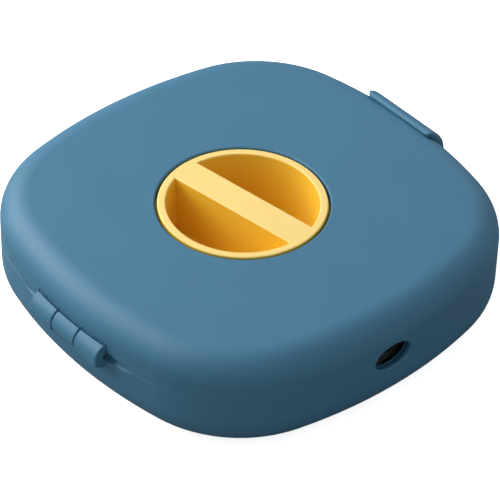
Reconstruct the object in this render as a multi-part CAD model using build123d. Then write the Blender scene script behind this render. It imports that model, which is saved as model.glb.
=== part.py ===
import os
from math import asin, atan2, cos, radians, sin, sqrt

from build123d import *

# Cable winder case: a flat rounded-square box with a hinged lid, a clasp, and a knob that turns a wheel
# inside.
# Millimetres. +Z is up, the case stands on z = 0, the hinge is at the back (+Y), the clasp at the front (-Y).

# Case, both shells
case_width = 100.0          # across the flats, both ways
case_height = 24.4
side_radius = 109.5         # the shallow bow of each side
corner_radius = 29.9
top_round = 6.4
bottom_round = 7.8
wall = 2.0
lid_thickness = 2.0
floor_thickness = 2.0
parting_height = 13.9
parting_gap = 0.06
rim_round = 0.15
lip_thickness = 0.9         # tongue on the base's rim, inside the lid's wall
lip_height = 1.2
lip_clearance = 0.15
lip_headroom = 0.3

# Cable holes, one in each side wall, half in each shell
cable_hole_length = 10.0
cable_hole_height = 6.2
cable_hole_chamfer = 0.3
cable_hole_flare = 0.7      # how much wider each way at the inner face
cable_hole_flare_depth = 1.1

# Wheel axis, set back from the middle of the case
reel_offset = 2.0

# Hinge
hinge_length = 23.0
hinge_barrel_radius = 3.1
hinge_inset = 0.8           # axis inside the flat of the back wall
hinge_pin_radius = 0.9
hinge_pin_recess = 0.5
hinge_foot_drop = 2.3       # squared foot of the outer knuckles, below the axis
hinge_foot_round = 0.9
knuckle_gap = 0.25
knuckle_edge_round = 0.35
hinge_clearance = 0.3
hinge_crease_width = 0.45   # crease between the barrel and the wall
hinge_crease_depth = 1.2
hinge_groove_length = 6.0   # tapered groove in both rims, past each end of the barrel
hinge_groove_radius = 1.5   # at the barrel
hinge_groove_tip = 0.3
pin_clearance = 0.05
pin_chamfer = 0.2

# Clasp
clasp_length = 21.4
clasp_offset = 1.9          # middle of the clasp, from the middle of the front
clasp_thickness = 1.2       # at the middle of its length
clasp_gap = 0.15            # all along the case
clasp_bow_room = 0.7        # how much thicker its ends may be, to follow the bow of the wall
clasp_lip_reach = 4.1       # how far the lip reaches in from the flat of the front wall
clasp_lip_round = 0.9
clasp_corner_round = 1.8
clasp_end_round = 0.8       # outer edges of the plate's two ends
clasp_bead_radius = 0.5
clasp_bead_inset = 0.35     # from the lip's edge
clasp_groove_clearance = 0.3
clasp_axis_height = 6.9
clasp_barrel_radius = 1.8
clasp_ear_width = 3.0
clasp_ear_gap = 0.3
clasp_pin_radius = 0.8

# Knob
knob_radius = 18.9
knob_hole_clearance = 0.55
knob_hole_round = 0.4
knob_proud = 0.0            # above the lid's top
knob_wall = 1.85
knob_floor_thickness = 1.6
knob_floor_height = 10.2
knob_draft = 2.6            # degrees, inside of the cup
knob_floor_round = 3.0
knob_edge_round = 0.35
knob_neck_step = 0.6        # body below the shoulder is this much smaller than the rim
knob_shoulder_width = 2.7
knob_shoulder_thickness = 1.2
knob_play = 0.3
grip_width = 7.4
grip_wall = 1.6
grip_turn = 9.0             # degrees from +X at rest
dog_width = 6.6
dog_drop = 3.4
dog_clearance = 0.2         # to the inner and outer face of the hub ring
dog_edge_round = 0.4

# Ring and screws that hold the knob in the lid
retainer_thickness = 1.2
retainer_width = 8.2
retainer_bore_clearance = 0.5
retainer_screw_count = 4
retainer_screw_turn = 45.0  # degrees from +X to the first screw
retainer_boss_radius = 2.6
retainer_screw_radius = 0.85
retainer_screw_head_radius = 1.8
retainer_screw_head_height = 1.1
retainer_screw_bite = 0.6   # into the lid's top, past the boss
screw_hole_clearance = 0.25

# Wheel
spool_wall_room = 4.0       # from the flange's edge to the case wall
spool_flange_thickness = 1.6
spool_floor_gap = 0.8
spool_edge_round = 0.6
hub_outer_drop = 0.8        # hub ring is this much smaller than the knob's body
hub_ring_thickness = 3.0
hub_gap_clearance = 0.7     # each side of a dog
hub_headroom = 0.6
bush_wall = 3.0
thrust_gap = 0.1
post_radius = 5.0
post_step_width = 3.6
post_step_height = 0.5
post_height = 4.2
post_clearance = 0.06

# Screw and washer on the post
spool_washer_radius = 7.2
spool_washer_thickness = 0.6
spool_screw_radius = 1.4
spool_screw_head_radius = 2.8
spool_screw_head_height = 1.5
spool_screw_length = 5.0
screw_slot_width = 0.8
screw_slot_depth = 0.6
screw_head_round = 0.4
screw_hole_depth_spare = 0.6

# Modelling allowances
join_depth = 0.5            # how far a piece runs into the one it is joined to, or a cut past its face
edge_tolerance = 0.01       # for picking an edge by its place or radius

# Places that follow from the sizes
half_width = case_width / 2
rim_low = parting_height - parting_gap / 2
rim_high = parting_height + parting_gap / 2
hinge_y = half_width - hinge_inset
knuckle_length = (hinge_length - 2 * knuckle_gap) / 3
clasp_axis_y = -(half_width + clasp_gap + clasp_barrel_radius)
lid_underside = case_height - lid_thickness
knob_top = case_height + knob_proud
knob_underside = knob_floor_height - knob_floor_thickness
knob_body_radius = knob_radius - knob_neck_step
shoulder_top = lid_underside - knob_play
shoulder_low = shoulder_top - knob_shoulder_thickness
shoulder_radius = knob_radius + knob_shoulder_width
retainer_top = shoulder_low - knob_play
retainer_low = retainer_top - retainer_thickness
retainer_bore = knob_body_radius + retainer_bore_clearance
retainer_radius = retainer_bore + retainer_width
retainer_screw_circle = retainer_radius - retainer_boss_radius
post_top = floor_thickness + post_height
flange_low = floor_thickness + spool_floor_gap
flange_top = flange_low + spool_flange_thickness
flange_radius = half_width - wall - reel_offset - spool_wall_room
hub_radius = knob_body_radius - hub_outer_drop
hub_bore = hub_radius - hub_ring_thickness
hub_top = knob_underside - hub_headroom
bush_bore = post_radius + post_clearance
bush_radius = bush_bore + bush_wall
reel_axis = Pos(0, reel_offset, 0)


def quarter_turn(x, y, turns):
    """A point turned about the case's middle by whole quarter turns."""
    for _ in range(turns):
        x, y = -y, x
    return (x, y)


def case_outline(inset):
    """Rounded square: four shallow side arcs, each tangent to a tighter arc at the corners."""
    side = side_radius - inset
    corner = corner_radius - inset
    side_centre = half_width - side_radius
    step = side - corner
    corner_centre = (side_centre + sqrt(2 * step**2 - side_centre**2)) / 2
    join = atan2(corner_centre, corner_centre - side_centre)
    join_point = (side_centre + side * cos(join), side * sin(join))
    diagonal = corner_centre + corner / sqrt(2)
    arcs = []
    for turns in range(4):
        low = quarter_turn(join_point[0], -join_point[1], turns)
        middle = quarter_turn(side_centre + side, 0, turns)
        high = quarter_turn(join_point[0], join_point[1], turns)
        corner_middle = quarter_turn(diagonal, diagonal, turns)
        next_low = quarter_turn(join_point[1], join_point[0], turns)
        arcs.append(ThreePointArc(low, middle, high))
        arcs.append(ThreePointArc(high, corner_middle, next_low))
    return make_face(Curve() + arcs)


def case_block(inset, low, high, low_round=0.0, high_round=0.0):
    """A solid with the case's outline, with its lower and upper edges rounded."""
    block = Pos(0, 0, low) * extrude(case_outline(inset), high - low)
    if low_round:
        block = fillet(block.edges().group_by(Axis.Z)[0], low_round)
    if high_round:
        block = fillet(block.edges().group_by(Axis.Z)[-1], high_round)
    return block


def disc(radius, low, high):
    """An upright cylinder between two heights."""
    return Pos(0, 0, low) * extrude(Circle(radius), high - low)


def ring(outer, inner, low, high):
    """An upright tube between two heights."""
    return Pos(0, 0, low) * extrude(Circle(outer) - Circle(inner), high - low)


def along_x(sketch, low, high):
    """A YZ section carried along X between two places."""
    return extrude(Plane.YZ.offset(low) * sketch, high - low)


def round_bar(radius, y, z, low, high):
    """A cylinder along X between two places."""
    return along_x(Pos(y, z) * Circle(radius), low, high)


def space_inside():
    """The free space inside the two shells."""
    return case_block(wall, floor_thickness, lid_underside, bottom_round - wall, top_round - wall)


def cable_hole_oval(widening):
    """Oval of a cable hole, wider all round by the given amount."""
    return Ellipse(cable_hole_length / 2 + widening, cable_hole_height / 2 + widening)


def cable_holes():
    """Oval holes through both side walls, with a chamfered outer edge and a flare inside."""
    cuts = []
    for side in (-1, 1):
        start = (side * (half_width - 2 * wall), reel_offset, parting_height)
        face = Plane(start, (0, side, 0), (side, 0, 0))
        through = extrude(face * cable_hole_oval(0), 3 * wall)
        inner = face.offset(wall)
        narrow = face.offset(wall + cable_hole_flare_depth)
        flare = loft([inner * cable_hole_oval(cable_hole_flare), narrow * cable_hole_oval(0)])
        edge = face.offset(2 * wall - cable_hole_chamfer)
        mouth = face.offset(2 * wall)
        chamfer_cut = loft([edge * cable_hole_oval(0), mouth * cable_hole_oval(cable_hole_chamfer)])
        cuts.append(through + flare + chamfer_cut)
    return cuts


def knuckle_span(index):
    """X range of knuckle 0, 1 or 2 along the hinge."""
    low = -hinge_length / 2 + index * (knuckle_length + knuckle_gap)
    return low, low + knuckle_length


def knuckle(index, with_foot):
    """One hinge knuckle: a barrel, with a squared foot where it belongs to the base."""
    low, high = knuckle_span(index)
    section = Circle(hinge_barrel_radius)
    if with_foot:
        foot = Rectangle(hinge_barrel_radius, hinge_foot_drop)
        foot = Pos(hinge_barrel_radius / 2, -hinge_foot_drop / 2) * foot
        section = section + foot
        outer_corner = section.vertices().sort_by(Axis.X)[-2:].sort_by(Axis.Y)[0]
        section = fillet(outer_corner, hinge_foot_round)
    bar = along_x(Pos(hinge_y, parting_height) * section, low, high)
    ends = bar.edges().group_by(Axis.X)
    return fillet(ends[0] + ends[-1], knuckle_edge_round)


def hinge_bore():
    """Bore for the hinge pin, right through the knuckles."""
    return round_bar(hinge_pin_radius + pin_clearance, hinge_y, parting_height, -hinge_length, hinge_length)


def hinge_relief(indices):
    """Room in a shell's wall for the other shell's knuckles."""
    radius = hinge_barrel_radius + hinge_clearance
    cuts = []
    for index in indices:
        low, high = knuckle_span(index)
        cuts.append(round_bar(radius, hinge_y, parting_height, low - knuckle_gap, high + knuckle_gap))
    return cuts


def hinge_crease():
    """Crease along the top of the barrel, just outside the wall and following its bow."""
    top = parting_height + hinge_barrel_radius
    reach = hinge_length + 2 * join_depth
    low, high = top - hinge_crease_depth, top + join_depth
    band = case_block(-hinge_crease_width, low, high) - case_block(0, low, high)
    return band & Pos(0, hinge_y, top) * Box(reach, 4 * hinge_barrel_radius, 4 * hinge_crease_depth)


def hinge_end_grooves():
    """Tapered grooves in both rims past the barrel, where the rims would meet as the lid turns."""
    start = hinge_length / 2 - knuckle_gap
    middle = start + hinge_groove_length / 2
    taper = Rot(0, 90, 0) * Cone(hinge_groove_radius, hinge_groove_tip, hinge_groove_length)
    groove = Pos(middle, hinge_y, parting_height) * taper
    return [groove, mirror(groove, Plane.YZ)]


def base_shell():
    """Lower shell: floor, wall, tongue, wheel post, two knuckles and two clasp ears."""
    shell = case_block(0, 0, rim_low, bottom_round, rim_round)
    lip = case_block(wall - lip_thickness, rim_low - join_depth, rim_low + lip_height)
    shell = shell + lip - space_inside()
    shell = shell - hinge_relief([1]) - hinge_end_grooves()
    knuckles = knuckle(0, True) + knuckle(2, True) - space_inside() - hinge_crease()
    shell = shell + knuckles - hinge_bore()
    shell = shell - cable_holes()
    post_foot = floor_thickness - join_depth
    step = disc(post_radius + post_step_width, post_foot, floor_thickness + post_step_height)
    post = disc(post_radius, post_foot, post_top)
    hole_end = spool_screw_tip() - screw_hole_depth_spare
    screw_hole = disc(spool_screw_radius + pin_clearance, hole_end, post_top)
    shell = shell + reel_axis * (step + post) - reel_axis * screw_hole
    return shell + clasp_ears()


def spool_screw_tip():
    """Height of the spool screw's lower end."""
    return post_top + spool_washer_thickness - spool_screw_length


def clasp_ears():
    """Two ears on the front wall that carry the clasp's pin."""
    reach = wall + clasp_gap + clasp_barrel_radius
    web = Pos(reach / 2, 0) * Rectangle(reach, 2 * clasp_barrel_radius)
    section = Circle(clasp_barrel_radius) + web - Circle(clasp_pin_radius + pin_clearance)
    ears = []
    for side in (-1, 1):
        low, high = sorted((side * (clasp_length / 2 - clasp_ear_width), side * clasp_length / 2))
        ear = along_x(Pos(clasp_axis_y, clasp_axis_height) * section, low + clasp_offset, high + clasp_offset)
        ears.append(ear - space_inside())
    return ears


def lid_shell():
    """Upper shell: top, wall, knob hole, screw bosses and the middle knuckle."""
    shell = case_block(0, rim_high, case_height, rim_round, top_round) - space_inside()
    tongue_inset = wall - lip_thickness - lip_clearance
    tongue_room = case_block(tongue_inset, rim_high - join_depth, rim_low + lip_height + lip_headroom)
    shell = shell - tongue_room
    shell = shell - hinge_relief([0, 2]) - hinge_end_grooves()
    shell = shell + knuckle(1, False) - space_inside() - hinge_crease() - hinge_bore()
    shell = shell - cable_holes() - clasp_groove()
    hole_radius = knob_radius + knob_hole_clearance
    shell = shell - reel_axis * disc(hole_radius, lid_underside - join_depth, case_height + join_depth)
    round_edges = shell.edges().filter_by(GeomType.CIRCLE)
    hole_edges = round_edges.filter_by(lambda edge: abs(edge.radius - hole_radius) < edge_tolerance)
    shell = fillet(hole_edges.group_by(Axis.Z)[-1], knob_hole_round)
    boss = disc(retainer_boss_radius, retainer_top, lid_underside + join_depth)
    pilot_end = retainer_screw_tip() + screw_hole_depth_spare
    pilot = disc(retainer_screw_radius + pin_clearance, retainer_top, pilot_end)
    shell = shell + screw_places(boss) - screw_places(pilot)
    return shell


def retainer_screw_tip():
    """Height of the upper end of the screws in the lid."""
    return lid_underside + retainer_screw_bite


def screw_places(shape):
    """A shape repeated at every screw of the retaining ring."""
    spots = PolarLocations(retainer_screw_circle, retainer_screw_count, retainer_screw_turn)
    return [reel_axis * spot * shape for spot in spots]


def clasp_round_centre():
    """Centre of the lid's top edge round at the front, as a YZ point."""
    return (-(half_width - top_round), case_height - top_round)


def clasp_bead_centre(radius):
    """Point above the lid's edge round where the clasp's bead sits, as a YZ point."""
    centre_y, centre_z = clasp_round_centre()
    lip_y = -(half_width - clasp_lip_reach)
    angle = asin((centre_y - lip_y + clasp_bead_radius + clasp_bead_inset) / radius)
    return (centre_y - radius * sin(angle), centre_z + radius * cos(angle))


def clasp_groove():
    """Groove across the lid's edge round that takes the clasp's bead."""
    y, z = clasp_bead_centre(top_round + clasp_bead_radius / 2)
    reach = clasp_length / 2 + clasp_gap
    groove = round_bar(clasp_bead_radius + clasp_groove_clearance, y, z, -reach, reach)
    return Pos(clasp_offset, 0, 0) * groove


def latch_clasp():
    """Clasp: a plate up the front wall that curls over the lid's edge, turning on a pin at its foot."""
    centre_y, centre_z = clasp_round_centre()
    inner = top_round - clasp_bow_room
    outer = top_round + clasp_gap + clasp_thickness
    plate_low = clasp_axis_height + clasp_barrel_radius + clasp_ear_gap
    leg_height = centre_z - clasp_axis_height
    leg_middle = (centre_z + clasp_axis_height) / 2
    hook = Pos(centre_y, centre_z) * (Circle(outer) - Circle(inner))
    lip_y = -(half_width - clasp_lip_reach)
    keep = Pos(lip_y - outer / 2, centre_z + outer / 2) * Rectangle(outer, outer)
    leg_y = centre_y - (inner + outer) / 2
    leg = Pos(leg_y, leg_middle) * Rectangle(outer - inner, leg_height)
    section = (hook & keep) + leg
    tip = section.vertices().sort_by(Axis.Y)[-2:].sort_by(Axis.Z)[-1]
    section = fillet(tip, clasp_lip_round)
    plate = along_x(section, -clasp_length / 2, clasp_length / 2)
    plate = fillet(clasp_end_edges(plate, centre_y - outer), clasp_end_round)
    case_room = case_block(-clasp_gap, 0, case_height + clasp_gap, 0, top_round + clasp_gap)
    plate = plate - Pos(-clasp_offset, 0, 0) * case_room
    bead_y, bead_z = clasp_bead_centre(top_round + clasp_bead_radius / 2)
    bead_reach = clasp_length / 2 - clasp_corner_round
    plate = plate + round_bar(clasp_bead_radius, bead_y, bead_z, -bead_reach, bead_reach)
    barrel_reach = clasp_length / 2 - clasp_ear_width - clasp_ear_gap
    ear_room_height = plate_low - clasp_axis_height + 2 * clasp_barrel_radius
    ear_room = Box(clasp_length, 4 * clasp_barrel_radius, ear_room_height)
    ear_room_z = plate_low - ear_room_height / 2
    for side in (-1, 1):
        room_x = side * (barrel_reach + clasp_length / 2)
        plate = plate - Pos(room_x, clasp_axis_y, ear_room_z) * ear_room
    barrel = round_bar(clasp_barrel_radius, clasp_axis_y, clasp_axis_height, -barrel_reach, barrel_reach)
    bore_radius = clasp_pin_radius + pin_clearance
    bore = round_bar(bore_radius, clasp_axis_y, clasp_axis_height, -clasp_length, clasp_length)
    return Pos(clasp_offset, 0, 0) * (plate + barrel - bore - clasp_corner_cut(lip_y))


def clasp_end_edges(plate, outer_y):
    """Edges of the plate's two ends on its outer face and round the curl above it."""
    ends = plate.edges().group_by(Axis.X)
    outer = []
    for edge in ends[0] + ends[-1]:
        furthest = max(abs((edge @ 0).Y - outer_y), abs((edge @ 1).Y - outer_y))
        on_face = furthest < edge_tolerance
        on_curl = edge.geom_type == GeomType.CIRCLE and edge.radius > top_round + clasp_gap + edge_tolerance
        if on_face or on_curl:
            outer.append(edge)
    return outer


def clasp_corner_cut(lip_y):
    """Rounds the two free corners of the clasp's lip, seen from above."""
    size = clasp_corner_round
    cuts = []
    for side in (-1, 1):
        square = Pos(side * (clasp_length / 2 - size / 2), lip_y - size / 2) * Rectangle(size, size)
        quarter = Pos(side * (clasp_length / 2 - size), lip_y - size) * Circle(size)
        cuts.append(extrude(Pos(0, 0, case_height - top_round) * (square - quarter), 2 * top_round))
    return cuts


def hinge_pin():
    """Pin through the three knuckles, sunk a little at each end."""
    reach = hinge_length / 2 - hinge_pin_recess
    pin = round_bar(hinge_pin_radius, hinge_y, parting_height, -reach, reach)
    return chamfer(pin.edges().filter_by(GeomType.CIRCLE), pin_chamfer)


def latch_pin():
    """Pin through the clasp's barrel and the base's ears."""
    reach = clasp_length / 2
    pin = round_bar(clasp_pin_radius, clasp_axis_y, clasp_axis_height, -reach, reach)
    return Pos(clasp_offset, 0, 0) * chamfer(pin.edges().filter_by(GeomType.CIRCLE), pin_chamfer)


def knob_cup():
    """Knob: a deep cup with a shoulder under the lid, a hollow grip bar across it and two dogs below."""
    depth = knob_top - knob_floor_height
    mouth = knob_radius - knob_wall
    floor_radius = mouth - depth * sin(radians(knob_draft))
    outside = [(0, knob_underside), (knob_body_radius, knob_underside), (knob_body_radius, shoulder_low),
               (shoulder_radius, shoulder_low), (shoulder_radius, shoulder_top), (knob_radius, shoulder_top),
               (knob_radius, knob_top), (0, knob_top)]
    cup = revolve(Plane.XZ * make_face(Polyline(*outside, close=True)), Axis.Z)
    inside = [(0, knob_floor_height), (floor_radius, knob_floor_height), (mouth, knob_top), (0, knob_top)]
    hollow_section = make_face(Polyline(*inside, close=True))
    hollow = revolve(Plane.XZ * hollow_section, Axis.Z)
    bar = Pos(0, 0, knob_floor_height) * extrude(Rectangle(2 * knob_radius, grip_width), depth)
    halves = hollow - bar
    finger_rooms = []
    for half in halves.solids():
        half = fillet(half.edges().group_by(Axis.Z)[0], knob_floor_round)
        finger_rooms.append(half)
    cup = cup - finger_rooms
    top_edges = cup.edges().group_by(Axis.Z)[-1]
    cup = fillet(top_edges, knob_edge_round)
    bar_room_length = 2 * (hub_bore - grip_wall)
    bar_room = Rectangle(bar_room_length, grip_width - 2 * grip_wall)
    bar_room_height = knob_top - grip_wall - knob_underside
    cup = cup - Pos(0, 0, knob_underside) * extrude(bar_room, bar_room_height)
    dog_length = hub_ring_thickness - 2 * dog_clearance
    dog_middle = (hub_bore + hub_radius) / 2
    for side in (-1, 1):
        dog_low = Pos(side * dog_middle, 0, knob_underside - dog_drop)
        dog = dog_low * extrude(Rectangle(dog_length, dog_width), dog_drop)
        dog = fillet(dog.edges().group_by(Axis.Z)[0], dog_edge_round)
        cup = cup + dog
    return reel_axis * Rot(0, 0, grip_turn) * cup


def knob_retainer():
    """Flat ring screwed under the lid, below the knob's shoulder."""
    plate = ring(retainer_radius, retainer_bore, retainer_low, retainer_top)
    hole = disc(retainer_screw_radius + screw_hole_clearance, retainer_low, retainer_top)
    return reel_axis * plate - screw_places(hole)


def slotted_screw(radius, head_radius, head_height, length):
    """Screw standing head up: its shank is below z = 0 and its slotted head above."""
    head = fillet(disc(head_radius, 0, head_height).edges().group_by(Axis.Z)[-1], screw_head_round)
    slot = Pos(0, 0, head_height) * Box(3 * head_radius, screw_slot_width, 2 * screw_slot_depth)
    return head - slot + disc(radius, -length, 0)


def retainer_screws():
    """Screws through the retaining ring into the lid's bosses, heads down."""
    length = retainer_screw_tip() - retainer_low
    head = (retainer_screw_head_radius, retainer_screw_head_height)
    screw = slotted_screw(retainer_screw_radius, *head, length)
    return Compound(screw_places(Pos(0, 0, retainer_low) * Rot(180, 0, 0) * screw))


def reel_spool():
    """Wheel: a flange under the cable, a bush on the post and a ring with four gaps that the dogs drive."""
    flange = fillet(disc(flange_radius, flange_low, flange_top).edges(), spool_edge_round)
    bush_low = floor_thickness + post_step_height + thrust_gap
    bush_top = post_top - thrust_gap
    hub = ring(hub_radius, hub_bore, flange_low, hub_top)
    gap_width = dog_width + 2 * hub_gap_clearance
    for turn in (0, 90):
        slot = Pos(0, 0, flange_top) * extrude(Rectangle(3 * hub_radius, gap_width), 2 * hub_top)
        hub = hub - Rot(0, 0, turn) * slot
    spool = flange + hub + disc(bush_radius, bush_low, bush_top) - disc(bush_bore, 0, 2 * bush_top)
    return reel_axis * Rot(0, 0, grip_turn) * spool


def spool_washer():
    """Washer on top of the post that keeps the wheel down."""
    bore = spool_screw_radius + screw_hole_clearance
    return reel_axis * ring(spool_washer_radius, bore, post_top, post_top + spool_washer_thickness)


def spool_screw():
    """Screw that holds the washer on the post."""
    head = (spool_screw_head_radius, spool_screw_head_height)
    screw = slotted_screw(spool_screw_radius, *head, spool_screw_length)
    return reel_axis * Pos(0, 0, post_top + spool_washer_thickness) * screw


nodes = {
    "base_shell": base_shell,
    "lid_shell": lid_shell,
    "hinge_pin": hinge_pin,
    "latch_clasp": latch_clasp,
    "latch_pin": latch_pin,
    "knob_cup": knob_cup,
    "knob_retainer": knob_retainer,
    "retainer_screws": retainer_screws,
    "reel_spool": reel_spool,
    "spool_washer": spool_washer,
    "spool_screw": spool_screw,
}

os.makedirs("parts", exist_ok=True)
for name, make in nodes.items():
    export_step(make(), f"parts/{name}.step")
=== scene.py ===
import math

import bpy
import numpy as np
from mathutils import Matrix, Vector


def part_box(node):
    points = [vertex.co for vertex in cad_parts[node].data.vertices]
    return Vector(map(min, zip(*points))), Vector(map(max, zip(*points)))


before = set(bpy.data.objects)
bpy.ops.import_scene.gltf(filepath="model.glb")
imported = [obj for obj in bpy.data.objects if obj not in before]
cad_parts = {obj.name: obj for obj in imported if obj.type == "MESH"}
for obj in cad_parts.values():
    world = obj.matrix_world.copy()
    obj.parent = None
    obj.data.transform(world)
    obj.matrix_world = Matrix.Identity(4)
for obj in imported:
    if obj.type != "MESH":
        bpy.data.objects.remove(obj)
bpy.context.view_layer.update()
scene = bpy.context.scene
mm = 0.001


# colours are picked as sRGB hex and turned linear here, once
def linear(hexColour):
    parts = [int(hexColour[i:i + 2], 16) / 255 for i in (1, 3, 5)]
    return [p / 12.92 if p <= 0.04045 else ((p + 0.055) / 1.055) ** 2.4 for p in parts] + [1.0]


# one node, with its settings and links: addNode(tree, type, {input: value or socket}, property=value)
def addNode(tree, kind, inputs=None, **settings):
    node = tree.nodes.new(kind)
    for name, value in settings.items():
        setattr(node, name, value)
    for name, value in (inputs or {}).items():
        if isinstance(value, bpy.types.NodeSocket):
            tree.links.new(value, node.inputs[name])
        else:
            node.inputs[name].default_value = value
    return node


def newMaterial(name):
    material = bpy.data.materials.new(name)
    material.use_nodes = True
    tree = material.node_tree
    tree.nodes.clear()
    place = addNode(tree, "ShaderNodeTexCoord").outputs["Object"]
    return material, tree, place


def finishMaterial(tree, shader):
    addNode(tree, "ShaderNodeOutputMaterial", {"Surface": shader.outputs["BSDF"]})


# three-quarter view from behind the hinge, from far off with a long lens
camera = {
    "azimuth": 228.84,      # degrees round the case, 0 looks along +Y
    "elevation": 40.03,
    "roll": 1.453,
    "distance": 0.634,      # m from the middle of the case
    "lens": 204.6,          # mm on a 36 mm sensor
    "shiftX": 0.0026,
    "shiftY": -0.0186,
}


def addCamera(settings, middle):
    az, el, roll = (math.radians(settings[k]) for k in ("azimuth", "elevation", "roll"))
    back = Vector((math.sin(az) * math.cos(el), -math.cos(az) * math.cos(el), math.sin(el)))
    right = Vector((math.cos(az), math.sin(az), 0))
    up = back.cross(right)
    rolledRight = right * math.cos(roll) + up * math.sin(roll)
    rolledUp = up * math.cos(roll) - right * math.sin(roll)
    turn = Matrix((rolledRight, rolledUp, back)).transposed()
    lens = bpy.data.cameras.new("camera")
    lens.sensor_width = 36
    lens.lens = settings["lens"]
    lens.shift_x = settings["shiftX"]
    lens.shift_y = settings["shiftY"]
    lens.clip_start = 0.01
    holder = bpy.data.objects.new("camera", lens)
    holder.matrix_world = Matrix.Translation(middle + back * settings["distance"]) @ turn.to_4x4()
    scene.collection.objects.link(holder)
    scene.camera = holder
    return right, up, back


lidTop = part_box("lid_shell")[1].z
caseMiddle = Vector((0, 0, lidTop / 2))
viewRight, viewUp, viewBack = addCamera(camera, caseMiddle)
print("camera placed")

# a white sheet and a large soft light on the left, a weaker one far behind on the right
studio = {
    "floorSize": 8.0,
    "floorColour": "#ffffff",
    "floorGlow": 0.80,          # lifts the paper's shadow, seen directly only
    "floorBounce": "#9a9a98",   # what the paper gives back to the object
    "paperTooth": 2 * mm,       # spacing of the paper's faint unevenness
    "paperToothDepth": 0.02 * mm,
    "roomColour": "#f6f8ff",
    "roomStrength": 0.52,
    "keyLeft": 0.36,            # m from the case, towards the left of the view
    "keyAway": 0.14,
    "keyUp": 0.26,
    "keySize": 0.44,
    "keyPower": 2.55,
    "rimRight": 0.35,
    "rimAway": 0.8,
    "rimUp": 0.45,
    "rimSize": 0.5,
    "rimPower": 0.4,
}


def addAreaLight(name, place, target, size, power, colour="#ffffff"):
    light = bpy.data.lights.new(name, "AREA")
    light.shape = "DISK"
    light.size = size
    light.energy = power
    light.color = linear(colour)[:3]
    holder = bpy.data.objects.new(name, light)
    aim = (place - target).to_track_quat("Z", "Y").to_matrix().to_4x4()
    holder.matrix_world = Matrix.Translation(place) @ aim
    scene.collection.objects.link(holder)
    return holder


# white paper that looks evenly bright, and gives less light back to the walls of the case
def addFloor(settings):
    half = settings["floorSize"] / 2
    corners = np.array([[-half, -half, 0], [half, -half, 0], [half, half, 0], [-half, half, 0]])
    mesh = bpy.data.meshes.new("floor")
    mesh.from_pydata((corners - [0, 0, 0.0001]).tolist(), [], [[0, 1, 2, 3]])
    floor = bpy.data.objects.new("floor", mesh)
    scene.collection.objects.link(floor)
    material, tree, place = newMaterial("matte studio paper")
    seen = addNode(tree, "ShaderNodeLightPath").outputs["Is Camera Ray"]
    grain = addNode(tree, "ShaderNodeTexNoise", {"Vector": place, "Scale": 1 / settings["paperTooth"],
                                                   "Detail": 2.0})
    tooth = addNode(tree, "ShaderNodeBump",
                    {"Height": grain.outputs["Fac"], "Distance": settings["paperToothDepth"]})
    bright = addNode(tree, "ShaderNodeBsdfPrincipled",
                     {"Base Color": linear(settings["floorColour"]), "Roughness": 0.95,
                      "Emission Color": linear(settings["floorColour"]),
                      "Emission Strength": settings["floorGlow"], "Normal": tooth.outputs["Normal"]})
    dull = addNode(tree, "ShaderNodeBsdfDiffuse", {"Color": linear(settings["floorBounce"])})
    paper = addNode(tree, "ShaderNodeMixShader",
                    {0: seen, 1: dull.outputs["BSDF"], 2: bright.outputs["BSDF"]})
    addNode(tree, "ShaderNodeOutputMaterial", {"Surface": paper.outputs["Shader"]})
    mesh.materials.append(material)


# white behind the object, a dimmer room in the light that falls on it
def addRoom(settings):
    world = bpy.data.worlds.new("soft white room")
    world.use_nodes = True
    tree = world.node_tree
    tree.nodes.clear()
    seen = addNode(tree, "ShaderNodeLightPath").outputs["Is Camera Ray"]
    behind = addNode(tree, "ShaderNodeBackground", {"Color": linear("#ffffff"), "Strength": 1.0})
    around = addNode(tree, "ShaderNodeBackground",
                     {"Color": linear(settings["roomColour"]), "Strength": settings["roomStrength"]})
    either = addNode(tree, "ShaderNodeMixShader",
                     {0: seen, 1: around.outputs["Background"], 2: behind.outputs["Background"]})
    addNode(tree, "ShaderNodeOutputWorld", {"Surface": either.outputs["Shader"]})
    scene.world = world


addFloor(studio)
addRoom(studio)
scene.view_settings.view_transform = "Standard"

flatLeft = -viewRight
flatAway = Vector((-viewBack.x, -viewBack.y, 0)).normalized()
up = Vector((0, 0, 1))
keyPlace = caseMiddle + flatLeft * studio["keyLeft"] + flatAway * studio["keyAway"] + up * studio["keyUp"]
addAreaLight("key softbox", keyPlace, caseMiddle, studio["keySize"], studio["keyPower"])
rimPlace = caseMiddle - flatLeft * studio["rimRight"] + flatAway * studio["rimAway"] + up * studio["rimUp"]
addAreaLight("rim softbox", rimPlace, caseMiddle, studio["rimSize"], studio["rimPower"])
print("floor and lights placed")

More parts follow.
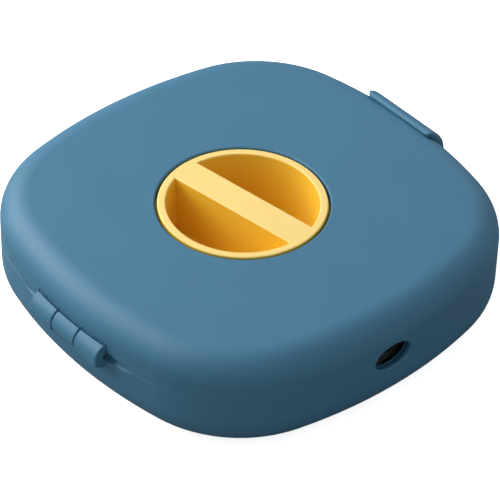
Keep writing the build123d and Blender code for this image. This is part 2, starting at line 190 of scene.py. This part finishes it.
casePlastic = {
    "colour": "#3d7693",
    "flowColour": "#38708c",    # where the melt cooled last
    "rubbedColour": "#54879f",
    "roughness": 0.56,
    "glossSpread": 0.018,       # how far the clouds move the roughness each way
    "grain": 0.30 * mm,         # spark-eroded texture, really 0.05 mm, drawn coarser so that it shows
    "grainDepth": 0.012 * mm,
    "flow": 14 * mm,            # size of the faint clouds in the tint
    "scuffHeight": 0.35 * mm,   # scuffs from the table reach this high
    "scuffLength": 3.2 * mm,
    "scuffThinness": 22,        # times longer than wide
    "scuffFaint": 0.60,         # noise level where a scuff begins
    "scuffFull": 0.68,
    "scuffAmount": 0.8,
    "scuffTurn": 0.6,           # radians, the way it is mostly pushed about
    "rimRubNear": 0.05 * mm,    # the rims' polish is full up to here from the parting line
    "rimRubFar": 0.3 * mm,      # and gone by here
    "rimRub": 0.35,
    "wornPolish": 0.15,         # how much smoother a fully worn place is
    "pinPlace": 27 * mm,        # ejector pins, from the wheel's axis each way
    "pinRadius": 2.5 * mm,
    "pinDepth": 0.08 * mm,
    "pinEdge": 0.12 * mm,       # softness of each mark's edge
    "marksUnderSkin": 1 * mm,   # no marks this close to the outside
    "lidMarksAboveRim": 3 * mm,
    "baseMarksBelow": 3 * mm,
}


# relief that the mould's face leaves on the plastic: fine even noise, over any relief given below it
def mouldGrain(tree, place, values, below=None):
    grain = addNode(tree, "ShaderNodeTexNoise",
                    {"Vector": place, "Scale": 1 / values["grain"], "Detail": 2.0, "Roughness": 0.55})
    relief = {"Height": grain.outputs["Fac"], "Distance": values["grainDepth"], "Strength": 0.6}
    if below is not None:
        relief["Normal"] = below
    return addNode(tree, "ShaderNodeBump", relief).outputs["Normal"]


# 1 where the rims rub on each other as the lid shuts or the table scuffs the underside, 0 elsewhere
def wornPlaces(tree, place, height, values, partingHeight):
    fromParting = addNode(tree, "ShaderNodeMath", {0: height, 1: partingHeight}, operation="SUBTRACT")
    nearParting = addNode(tree, "ShaderNodeMath", {0: fromParting.outputs["Value"]}, operation="ABSOLUTE")
    rubbed = addNode(tree, "ShaderNodeMapRange",
                     {"Value": nearParting.outputs["Value"], "From Min": values["rimRubNear"],
                      "From Max": values["rimRubFar"], "To Min": values["rimRub"], "To Max": 0.0})
    drawnOut = addNode(tree, "ShaderNodeMapping", {"Vector": place, "Rotation": (0, 0, values["scuffTurn"]),
                                                   "Scale": (1, values["scuffThinness"], 1)})
    lines = addNode(tree, "ShaderNodeTexNoise",
                    {"Vector": drawnOut.outputs["Vector"], "Scale": 1 / values["scuffLength"],
                     "Detail": 2.0, "Roughness": 0.7})
    thinLines = addNode(tree, "ShaderNodeMapRange",
                        {"Value": lines.outputs["Fac"], "From Min": values["scuffFaint"],
                         "From Max": values["scuffFull"]})
    low = addNode(tree, "ShaderNodeMapRange",
                  {"Value": height, "From Max": values["scuffHeight"],
                   "To Min": values["scuffAmount"], "To Max": 0.0})
    scuffs = addNode(tree, "ShaderNodeMath", {0: thinLines.outputs["Result"], 1: low.outputs["Result"]},
                     operation="MULTIPLY")
    worn = addNode(tree, "ShaderNodeMath", {0: scuffs.outputs["Value"], 1: rubbed.outputs["Result"]},
                   operation="MAXIMUM")
    return worn.outputs["Value"]


# 1 inside four discs round the wheel's axis, between two heights: distance from the nearest pin in plan is
# the length of (|x| - pin, |y| - pin)
def ejectorMarks(tree, place, height, values, axis, insideHeights):
    centred = addNode(tree, "ShaderNodeMapping", {"Vector": place, "Location": (-axis[0], -axis[1], 0)})
    folded = addNode(tree, "ShaderNodeVectorMath", {0: centred.outputs["Vector"]}, operation="ABSOLUTE")
    flat = addNode(tree, "ShaderNodeVectorMath", {0: folded.outputs["Vector"], 1: (1, 1, 0)},
                   operation="MULTIPLY")
    fromPin = addNode(tree, "ShaderNodeVectorMath",
                      {0: flat.outputs["Vector"], 1: (values["pinPlace"], values["pinPlace"], 0)},
                      operation="DISTANCE")
    inPin = addNode(tree, "ShaderNodeMapRange",
                    {"Value": fromPin.outputs["Value"],
                     "From Min": values["pinRadius"] - values["pinEdge"],
                     "From Max": values["pinRadius"] + values["pinEdge"], "To Min": 1.0, "To Max": 0.0})
    above = addNode(tree, "ShaderNodeMath", {0: height, 1: insideHeights[0]}, operation="GREATER_THAN")
    below = addNode(tree, "ShaderNodeMath", {0: height, 1: insideHeights[1]}, operation="LESS_THAN")
    inside = addNode(tree, "ShaderNodeMath", {0: above.outputs["Value"], 1: below.outputs["Value"]},
                     operation="MULTIPLY")
    marks = addNode(tree, "ShaderNodeMath", {0: inPin.outputs["Result"], 1: inside.outputs["Value"]},
                    operation="MULTIPLY")
    return marks.outputs["Value"]


# ABS moulded in a spark-eroded tool: an even satin skin with faint clouds in its tint, a soft wide
# highlight without direction, fine scuffs on the face that it slides about on, and inside the four round
# marks that the mould's ejector pins leave
def sparkGrainAbs(name, values, partingHeight, axis, insideHeights):
    material, tree, place = newMaterial(name)
    height = addNode(tree, "ShaderNodeSeparateXYZ", {"Vector": place}).outputs["Z"]
    clouds = addNode(tree, "ShaderNodeTexNoise",
                     {"Vector": place, "Scale": 1 / values["flow"], "Detail": 4.0}).outputs["Fac"]
    tint = addNode(tree, "ShaderNodeMix", {0: clouds}, data_type="RGBA")
    tint.inputs["A"].default_value = linear(values["flowColour"])
    tint.inputs["B"].default_value = linear(values["colour"])
    worn = wornPlaces(tree, place, height, values, partingHeight)
    colour = addNode(tree, "ShaderNodeMix", {0: worn}, data_type="RGBA")
    tree.links.new(tint.outputs["Result"], colour.inputs["A"])
    colour.inputs["B"].default_value = linear(values["rubbedColour"])
    marks = ejectorMarks(tree, place, height, values, axis, insideHeights)
    relief = addNode(tree, "ShaderNodeBump", {"Height": marks, "Distance": values["pinDepth"],
                                              "Normal": mouldGrain(tree, place, values)}, invert=True)
    gloss = addNode(tree, "ShaderNodeMapRange",
                    {"Value": clouds, "From Min": 0.3, "From Max": 0.7,
                     "To Min": values["roughness"] - values["glossSpread"],
                     "To Max": values["roughness"] + values["glossSpread"]})
    polish = addNode(tree, "ShaderNodeMath",
                     {0: worn, 1: -values["wornPolish"], 2: gloss.outputs["Result"]},
                     operation="MULTIPLY_ADD")
    shader = addNode(tree, "ShaderNodeBsdfPrincipled",
                     {"Base Color": colour.outputs["Result"], "Roughness": polish.outputs["Value"],
                      "Normal": relief.outputs["Normal"], "IOR": 1.53})
    finishMaterial(tree, shader)
    return material


waveLength = math.pi / 10   # m between rings of a Wave Texture at scale 1

knobPlastic = {
    "colour": "#f7c93a",        # full tone, the knob's own colour below the painted pale top
    # painted highlight: the knob's top faces are tinted paler, as if lit brighter than the recesses
    "topToneColour": "#fddc86",
    "roughness": 0.46,
    "glossSpread": 0.05,
    "topToneDepth": 0.35 * mm,  # below the top, where the painted highlight tone begins
    "topToneFull": 0.02 * mm,   # and where it is full
    "topToneLeast": 0.85,       # of the full painted highlight tone, in its weakest patches
    "grain": 0.26 * mm,         # drawn coarser than the real 0.05 mm
    "grainDepth": 0.006 * mm,
    "toolRing": 0.45 * mm,      # spacing of the turned marks in the mould's round insert
    "toolRingDepth": 0.003 * mm,
    "blotch": 7 * mm,           # size of the uneven patches in tone and gloss
}


# yellow ABS from a turned mould insert: satin, deep in tone below the top faces, which are painted paler as
# a painted highlight (on the reel the top is tinted darker instead), with faint rings from the lathe under
# the mould's grain
def turnedMouldAbs(name, values, top, axis):
    material, tree, place = newMaterial(name)
    height = addNode(tree, "ShaderNodeSeparateXYZ", {"Vector": place}).outputs["Z"]
    # 1 near the top, where the knob's colour is painted paler as a highlight
    towardsTop = addNode(tree, "ShaderNodeMapRange",
                      {"Value": height, "From Min": top - values["topToneDepth"],
                       "From Max": top - values["topToneFull"]})
    blotches = addNode(tree, "ShaderNodeTexNoise",
                       {"Vector": place, "Scale": 1 / values["blotch"], "Detail": 3.0}).outputs["Fac"]
    evenness = addNode(tree, "ShaderNodeMapRange",
                       {"Value": blotches, "To Min": values["topToneLeast"], "To Max": 1.0})
    amount = addNode(tree, "ShaderNodeMath", {0: towardsTop.outputs["Result"], 1: evenness.outputs["Result"]},
                     operation="MULTIPLY")
    colour = addNode(tree, "ShaderNodeMix", {0: amount.outputs["Value"]}, data_type="RGBA")
    colour.inputs["A"].default_value = linear(values["colour"])
    colour.inputs["B"].default_value = linear(values["topToneColour"])
    centred = addNode(tree, "ShaderNodeMapping", {"Vector": place, "Location": (-axis[0], -axis[1], 0)})
    rings = addNode(tree, "ShaderNodeTexWave",
                    {"Vector": centred.outputs["Vector"], "Scale": waveLength / values["toolRing"],
                     "Distortion": 0.0}, wave_type="RINGS", rings_direction="Z")
    ringBump = addNode(tree, "ShaderNodeBump", {"Height": rings.outputs["Fac"], "Strength": 0.25,
                                                "Distance": values["toolRingDepth"]})
    relief = mouldGrain(tree, place, values, below=ringBump.outputs["Normal"])
    gloss = addNode(tree, "ShaderNodeMapRange",
                    {"Value": blotches, "To Min": values["roughness"] - values["glossSpread"],
                     "To Max": values["roughness"] + values["glossSpread"]})
    shader = addNode(tree, "ShaderNodeBsdfPrincipled",
                     {"Base Color": colour.outputs["Result"], "Roughness": gloss.outputs["Result"],
                      "Normal": relief, "IOR": 1.53})
    finishMaterial(tree, shader)
    return material


reelPlastic = {
    "colour": "#e9e8e2",
    # the same height tint, here darker towards the reel's top
    "topToneColour": "#dedcd2",
    "roughness": 0.50,
    "glossSpread": 0.05,
    "topToneDepth": 1.6 * mm,
    "topToneFull": 0.02 * mm,
    "topToneLeast": 0.85,
    "grain": 0.3 * mm,
    "grainDepth": 0.008 * mm,
    "toolRing": 0.8 * mm,
    "toolRingDepth": 0.004 * mm,
    "blotch": 7 * mm,
}

steelWire = {
    "colour": "#c9cbcd",
    "smooth": 0.20,             # roughness where the plating is brightest
    "dull": 0.38,
    "cloud": 1.2 * mm,
}


# zinc-plated steel pins and screws, drawn wire or turned: metallic grey with a slightly cloudy shine
def platedSteel(name, values):
    material, tree, place = newMaterial(name)
    cloud = addNode(tree, "ShaderNodeTexNoise",
                    {"Vector": place, "Scale": 1 / values["cloud"], "Detail": 2.0})
    gloss = addNode(tree, "ShaderNodeMapRange", {"Value": cloud.outputs["Fac"],
                                                 "To Min": values["smooth"], "To Max": values["dull"]})
    shader = addNode(tree, "ShaderNodeBsdfPrincipled",
                     {"Base Color": linear(values["colour"]), "Metallic": 1.0,
                      "Roughness": gloss.outputs["Result"]})
    finishMaterial(tree, shader)
    return material


reelAxis = (0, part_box("reel_spool")[0].y / 2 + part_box("reel_spool")[1].y / 2)
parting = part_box("hinge_pin")[0].z / 2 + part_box("hinge_pin")[1].z / 2
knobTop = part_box("knob_cup")[1].z
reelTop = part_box("reel_spool")[1].z
insideLid = (parting + casePlastic["lidMarksAboveRim"], lidTop - casePlastic["marksUnderSkin"])
insideBase = (casePlastic["marksUnderSkin"], casePlastic["baseMarksBelow"])
farAbove = 1.0   # m, for the clasp, which has neither a rubbing rim nor ejector marks
lidFinish = sparkGrainAbs("slate blue abs, lid moulding", casePlastic, parting, reelAxis, insideLid)
baseFinish = sparkGrainAbs("slate blue abs, base moulding", casePlastic, parting, reelAxis, insideBase)
claspFinish = sparkGrainAbs("slate blue abs, clasp moulding", casePlastic, farAbove, reelAxis,
                            (farAbove, farAbove))
knobFinish = turnedMouldAbs("yellow abs, moulded satin", knobPlastic, knobTop, reelAxis)
reelFinish = turnedMouldAbs("off-white polypropylene, moulded", reelPlastic, reelTop, reelAxis)
steelFinish = platedSteel("zinc plated steel", steelWire)

finishes = {
    "base_shell": baseFinish,
    "lid_shell": lidFinish,
    "latch_clasp": claspFinish,
    "knob_cup": knobFinish,
    "knob_retainer": reelFinish,
    "reel_spool": reelFinish,
    "hinge_pin": steelFinish,
    "latch_pin": steelFinish,
    "retainer_screws": steelFinish,
    "spool_washer": steelFinish,
    "spool_screw": steelFinish,
}
for node, finish in finishes.items():
    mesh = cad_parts[node].data
    mesh.materials.clear()
    mesh.materials.append(finish)
print("materials made")
